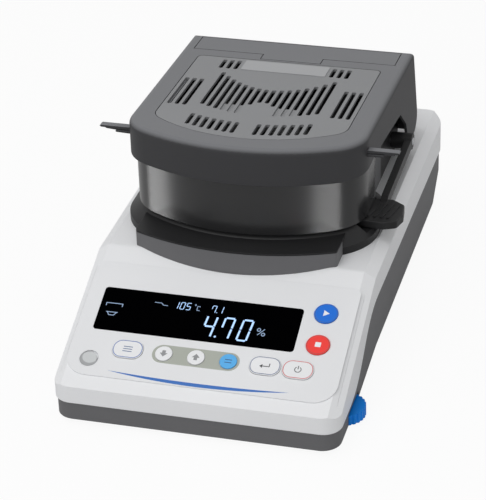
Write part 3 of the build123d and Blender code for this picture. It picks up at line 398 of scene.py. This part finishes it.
percent = [
    hollow_ring(33.4, 68.3, 1.5, 1.6, 0.65, 20),
    hollow_ring(37.2, 64.6, 1.5, 1.6, 0.65, 20),
    bar(33.0, 63.6, 37.6, 69.3, 0.6),
]
degree_c = [hollow_ring(-17.6, 83.6, 0.7, 0.75, 0.35, 16)]
degree_c += [bar(-15.9, 79.0, -15.9, 82.6, 0.5)]
degree_c += [bar(-15.9, y, -13.7, y, 0.5) for y in (82.6, 79.0)]
bracket = [bar(-84.0, 76.9, -71.3, 76.9, 0.6)]
bracket += [bar(x, 76.9, x, 74.4, 0.6) for x in (-83.8, -71.5)]
bowl = [bar(-82.2, 68.9, -73.4, 68.9, 0.6), bar(-81.4, 68.9, -79.6, 66.2, 0.6)]
bowl += [bar(-74.2, 68.9, -76.0, 66.2, 0.6), bar(-79.8, 66.2, -75.8, 66.2, 0.6)]
drying_curve = strokes([(-48.4, 82.0), (-43.2, 82.0), (-41.4, 80.2), (-38.0, 80.2)], 0.5)
icons = percent + degree_c + bracket + bowl + drying_curve
print_on("display_icons", icons, PANEL, "base", LIT_DIM, WINDOW)

# Printing on the control panel, in mm across and up the slope.
ROW_UP = 37.6
SMALL_RADIUS, LARGE_RADIUS = 6.3, 8.7
ROUND_KEYS = {
    "start": (78.5, 89, LARGE_RADIUS),
    "stop": (78.5, 61, LARGE_RADIUS),
    "down": (-30, ROW_UP, SMALL_RADIUS),
    "up": (-6, ROW_UP, SMALL_RADIUS),
    "select": (18, ROW_UP, SMALL_RADIUS),
}
OVAL_KEYS = {"program": (-57, ROW_UP), "print": (45, ROW_UP), "power": (69, ROW_UP)}


def swoosh(half_length, end_up, sag, thickness, steps=40):
    """A crescent line: tapered ends, thickest in the middle."""
    lower, upper = [], []
    for i in range(steps + 1):
        t = 2 * i / steps - 1
        middle = end_up - sag * (1 - t * t)
        half = thickness / 2 * (1 - t * t)
        lower.append((half_length * t, middle - half))
        upper.append((half_length * t, middle + half))
    return lower + upper[::-1][1:-1]


print_on("panel_swoosh", [swoosh(67, 17.8, 3.5, 3.0)], PANEL, "base", INK["blue_line"], FILM)
# The strip round the three small keys is open under their caps.
cap_opening = SMALL_RADIUS + 0.3
key_strip = [rounded(-6.2, ROW_UP, 32.4, 7.9, 7.6)]
for key in ("down", "up", "select"):
    key_strip.append(ring(ROUND_KEYS[key][0], ROW_UP, cap_opening, cap_opening))
print_on("panel_key_strip", [key_strip], PANEL, "base", INK["strip"], FILM)


def key_print(key, shapes, ink):
    """Printing on a key's cap, which rides with the key."""
    return print_on("print_" + key + "_" + ink, shapes, PANEL, "key_" + key + "_body", INK[ink], KEY_TOP)


# Large round keys: a dark rim, a triangle and a square.
for key, rim in (("start", "blue_rim"), ("stop", "red_rim")):
    x, up, radius = ROUND_KEYS[key]
    key_print(key, [[ring(x, up, radius - edge, radius - edge, 64) for edge in (0.45, 0.95)]], rim)
x, up, _ = ROUND_KEYS["start"]
key_print("start", [[(x - 1.7, up - 2.6), (x + 2.7, up), (x - 1.7, up + 2.6)]], "symbol_white")
x, up, _ = ROUND_KEYS["stop"]
key_print("stop", [rounded(x, up, 2.1, 2.1, 0.3)], "symbol_white")

# Small round keys: two bars, and an arrow each way.
x, up, _ = ROUND_KEYS["select"]
key_print("select", [bar(x - 2.6, up + d, x + 2.6, up + d, 0.7) for d in (1.2, -1.2)], "symbol_blue")
ARROW = ((-2.9, -0.3), (0, 2.9), (2.9, -0.3), (1.3, -0.3), (1.3, -2.6), (-1.3, -2.6), (-1.3, -0.3))
for key, turn in (("down", -1), ("up", 1)):
    x, up, _ = ROUND_KEYS[key]
    key_print(key, [[(x + dx, up + dy * turn) for dx, dy in ARROW]], "symbol_grey")

# Oval keys: a coloured outline, and a list, return arrow and power sign.
for key, rim in (("program", "outline_blue"), ("print", "outline_slate"), ("power", "outline_red")):
    x, up = OVAL_KEYS[key]
    key_print(key, [[rounded(x, up, 10.9, 7.4, 6.6), rounded(x, up, 10.3, 6.8, 6.0)]], rim)
x, up = OVAL_KEYS["program"]
key_print("program", [bar(x - 3.4, up + d, x + 3.4, up + d, 0.6) for d in (-2, 0, 2)], "symbol_blue")
x, up = OVAL_KEYS["print"]
return_sign = strokes([(x + 3.2, up + 2.2), (x + 3.2, up - 0.6), (x - 2.2, up - 0.6)], 0.7)
return_sign.append([(x - 4.0, up - 0.6), (x - 1.8, up + 1.0), (x - 1.8, up - 2.2)])
key_print("print", return_sign, "symbol_dark")
x, up = OVAL_KEYS["power"]
outer = [math.radians(d) for d in range(35, 326, 10)]
inner = [math.radians(d) for d in range(325, 34, -10)]
open_ring = [(x + 2.6 * math.sin(a), up + 2.6 * math.cos(a)) for a in outer]
open_ring += [(x + 2.0 * math.sin(a), up + 2.0 * math.cos(a)) for a in inner]
key_print("power", [open_ring, bar(x, up + 0.2, x, up + 3.2, 0.6)], "symbol_dark")

# Shadowed lower edge of the level's recess.
LEVEL_X, LEVEL_UP = -83.3, 26.4
recess = [ring(LEVEL_X, LEVEL_UP, 6.9, 6.9), ring(LEVEL_X + 0.6, LEVEL_UP + 1.3, 5.8, 5.5)]
print_on("level_recess_shade", [recess], PANEL, "base", RECESS_SHADE, FILM)

# Contacts inside the rear sockets: two rows of pins in one, a flat tongue in the other.
SOCKET_Z, SERIAL_X, USB_X = 64, 12, 58
PIN_PITCH, PIN_RADIUS, ROW_GAP = 2.77, 0.5, 2.84
SERIAL_DEPTH, PIN_LENGTH = 6, 4.5
USB_DEPTH, TONGUE_LENGTH = 9, 6.5
pins = [(i, -ROW_GAP / 2) for i in range(-2, 3)] + [(i + 0.5, ROW_GAP / 2) for i in range(-2, 2)]
pins = [ring(SERIAL_X + PIN_PITCH * i, d - SOCKET_Z, PIN_RADIUS, PIN_RADIUS, 12) for i, d in pins]
print_on("serial_pins", pins, REAR, "base", FINISH["plated_steel"], -SERIAL_DEPTH, PIN_LENGTH)
tongue = rounded(USB_X, -SOCKET_Z, 2.8, 1.5, 0.2)
print_on("usb_tongue", [tongue], REAR, "base", FINISH["switch_black"], -USB_DEPTH, TONGUE_LENGTH)

# Slim grips of the cover, deepest where they leave its side wall. They stand for wider solids.
GRIP_ROOT_X, GRIP_TOP_Z, GRIP_GROOVE = 90, 157.2, 2.2


def grip_rib(side, drop, reach, root_height):
    """The front view of one rib, from the side wall out to its tip."""
    top = GRIP_TOP_Z - drop
    tip_x = GRIP_ROOT_X + reach
    return [
        (side * GRIP_ROOT_X, top),
        (side * tip_x, top),
        (side * (tip_x + 1.2), top - 0.6),
        (side * tip_x, top - 0.6 - root_height * 0.4),
        (side * GRIP_ROOT_X, top - root_height),
    ]


for side, side_name in ((-1, "left"), (1, "right")):
    horn = print_on(
        "grip_horn_" + side_name,
        [grip_rib(side, 0, 23.6, 2.3), grip_rib(side, 3.4, 11.5, 1.8)],
        GRIP_FACE, "cover", FINISH["dark_grey_abs"], -GRIP_DEPTH / 2, GRIP_DEPTH,
    )
    # The groove between the ribs is set back from their front.
    print_on(
        "grip_web_" + side_name,
        [grip_rib(side, 1.2, 20.5, 4.0)],
        GRIP_FACE, "cover", FINISH["dark_grey_abs"], -GRIP_DEPTH / 2, GRIP_DEPTH - GRIP_GROOVE,
    )
    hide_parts("grip_" + side_name)
    soft = horn.modifiers.new("edges", "BEVEL")
    soft.width, soft.segments = 0.35 * MM, 2

# White surroundings for the camera, reflections and glass, softer ones as light.
AMBIENT = 0.45
FLOOR_WHITE = 0.93
world = bpy.data.worlds.new("studio")
bpy.context.scene.world = world
world.use_nodes = True
tree = world.node_tree
path = add_node(tree, "ShaderNodeLightPath")
seen = add_node(tree, "ShaderNodeMath", {"operation": "MAXIMUM"})
tree.links.new(path.outputs["Is Camera Ray"], seen.inputs[0])
tree.links.new(path.outputs["Is Transmission Ray"], seen.inputs[1])
shown = add_node(tree, "ShaderNodeMath", {"operation": "MAXIMUM"})
tree.links.new(seen.outputs["Value"], shown.inputs[0])
tree.links.new(path.outputs["Is Glossy Ray"], shown.inputs[1])
level = add_node(
    tree, "ShaderNodeMapRange", {"To Min": AMBIENT, "To Max": 1.0}, Value=shown.outputs["Value"]
)
tree.nodes["Background"].inputs["Color"].default_value = (1, 1, 1, 1)
tree.links.new(level.outputs["Result"], tree.nodes["Background"].inputs["Strength"])

# Plain pale floor, nearly white to the camera, that still shows the object's shadow.
floor_mat = bpy.data.materials.new("white_sweep")
floor_mat.use_nodes = True
tree = floor_mat.node_tree
shader = tree.nodes["Principled BSDF"]
shader.inputs["Base Color"].default_value = (0.8, 0.8, 0.8, 1)
shader.inputs["Roughness"].default_value = 0.9
white = add_node(tree, "ShaderNodeEmission", {"Color": (1, 1, 1, 1), "Strength": 1.0})
path = add_node(tree, "ShaderNodeLightPath")
share = add_node(tree, "ShaderNodeMath", {"operation": "MULTIPLY"})
tree.links.new(path.outputs["Is Camera Ray"], share.inputs[0])
share.inputs[1].default_value = FLOOR_WHITE
mix = add_node(tree, "ShaderNodeMixShader")
tree.links.new(share.outputs["Value"], mix.inputs["Fac"])
tree.links.new(shader.outputs["BSDF"], mix.inputs[1])
tree.links.new(white.outputs["Emission"], mix.inputs[2])
tree.links.new(mix.outputs["Shader"], tree.nodes["Material Output"].inputs["Surface"])
FLOOR_REACH, FLOOR_DROP_MM = 8, 0.4
bm = bmesh.new()
bmesh.ops.create_grid(bm, x_segments=1, y_segments=1, size=FLOOR_REACH)
bm.transform(Matrix.Translation((0, 0, -FLOOR_DROP_MM * MM)))
floor_mesh = bpy.data.meshes.new("floor")
bm.to_mesh(floor_mesh)
bm.free()
floor = bpy.data.objects.new("floor", floor_mesh)
bpy.context.scene.collection.objects.link(floor)
floor_mesh.materials.append(floor_mat)


AIM_HEIGHT_MM = 90


def softbox(name, azimuth, elevation, distance, size, watts):
    """A square lamp aimed at the middle of the instrument."""
    lamp = bpy.data.lights.new(name, "AREA")
    lamp.size = size
    lamp.energy = watts
    obj = bpy.data.objects.new(name, lamp)
    a, e = math.radians(azimuth), math.radians(elevation)
    away = Vector((math.sin(a) * math.cos(e), -math.cos(a) * math.cos(e), math.sin(e)))
    obj.location = Vector((0, 0, AIM_HEIGHT_MM * MM)) + away * distance
    obj.rotation_mode = "QUATERNION"
    obj.rotation_quaternion = (-away).to_track_quat("-Z", "Y")
    bpy.context.scene.collection.objects.link(obj)
    return obj


softbox("top_box", -30, 72, 1.5, 1.1, 8.3)
softbox("front_box", -10, 25, 1.6, 0.9, 3)

# Two tall strips that light only the glossy skirt, where it mirrors the camera.
STRIP_ELEVATION, STRIP_DISTANCE, STRIP_HEIGHT = -32, 1.0, 0.7
skirt_only = bpy.data.collections.new("skirt_only")
skirt_only.objects.link(nodes["cover_skirt"])
for name, azimuth, width, watts in (("left_strip", -74, 0.34, 3.2), ("right_strip", 47, 0.38, 3.2)):
    strip = softbox(name, azimuth, STRIP_ELEVATION, STRIP_DISTANCE, width, watts)
    strip.data.shape = "RECTANGLE"
    strip.data.size_y = STRIP_HEIGHT
    strip.data.cycles.use_multiple_importance_sampling = False
    strip.visible_camera = False
    strip.light_linking.receiver_collection = skirt_only
    strip.light_linking.blocker_collection = skirt_only

# Camera angles and place come from matching the case, cover and panel corners to the photograph.
AZIMUTH, ELEVATION, ROLL = 0.280096, 0.521740, -0.033775
FOCAL_PX, LONG_SIDE_PX = 2200.31, 500
CAMERA_SHIFT = Vector((6.18868, 56.97888, 1697.02221))
FIT_ORIGIN_Y = -36
away = Vector(
    (
        math.sin(AZIMUTH) * math.cos(ELEVATION),
        -math.cos(AZIMUTH) * math.cos(ELEVATION),
        math.sin(ELEVATION),
    )
)
right = (-away).cross(Vector((0, 0, 1))).normalized()
up_way = right.cross(-away)
across = right * math.cos(ROLL) + up_way * math.sin(ROLL)
upward = up_way * math.cos(ROLL) - right * math.sin(ROLL)
camera = bpy.data.cameras.new("camera")
camera.sensor_width = 36
camera.lens = FOCAL_PX * camera.sensor_width / LONG_SIDE_PX
camera_obj = bpy.data.objects.new("camera", camera)
bpy.context.scene.collection.objects.link(camera_obj)
rows = Matrix((across, -upward, -away))
eye = (-(rows.transposed() @ CAMERA_SHIFT) + Vector((0, FIT_ORIGIN_Y, 0))) * MM
turn = Matrix((across, upward, away)).transposed().to_4x4()
camera_obj.matrix_world = Matrix.Translation(eye) @ turn
bpy.context.scene.camera = camera_obj
bpy.context.scene.view_settings.view_transform = "Standard"

bpy.context.view_layer.update()
